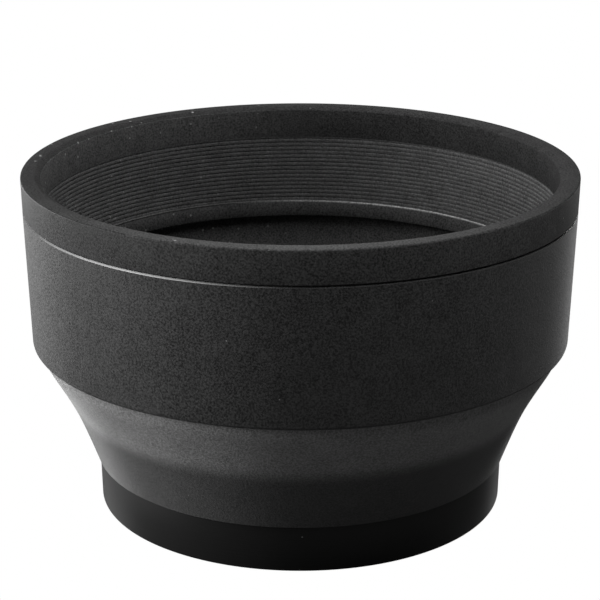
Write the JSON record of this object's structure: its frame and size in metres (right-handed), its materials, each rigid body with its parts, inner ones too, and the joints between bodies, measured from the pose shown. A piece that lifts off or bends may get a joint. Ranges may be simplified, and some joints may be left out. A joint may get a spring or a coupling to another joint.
{
  "type": "collapsible rubber lens hood",
  "caption": "Round matt rubber lens hood with a ribbed barrel on a flexible neck that folds back over a screw-in metal mount.",
  "frame": {"origin": "centre of the base band's lower face, which the hood stands on", "axes": "+Z along the lens axis, from the mount to the open front; round about Z, the retaining ring's spanner slots lie along X"},
  "size_m": [0.075, 0.075, 0.0465],
  "materials": {
    "rim_rubber": "matt, fine grain",
    "barrel_rubber": "matt, fine grain",
    "neck_rubber": "matt, slightly worn",
    "band_metal": "satin black anodised",
    "mount_metal": "satin black anodised, turned"
  },
  "bodies": {
    "mount": {"base_band": "band_metal", "mount_ring": "mount_metal", "retaining_ring": "mount_metal", "neck_cuff": "neck_rubber", "fold_web": "neck_rubber"},
    "hood": {"ribbed_barrel": "barrel_rubber", "front_rim": "rim_rubber"}
  },
  "joints": [
    {"name": "hood_fold", "type": "slide", "parent": "mount", "child": "hood", "axis": [0, 0, -1], "range_m": [0, 0.0134], "deforming": ["fold_web"]}
  ]
}
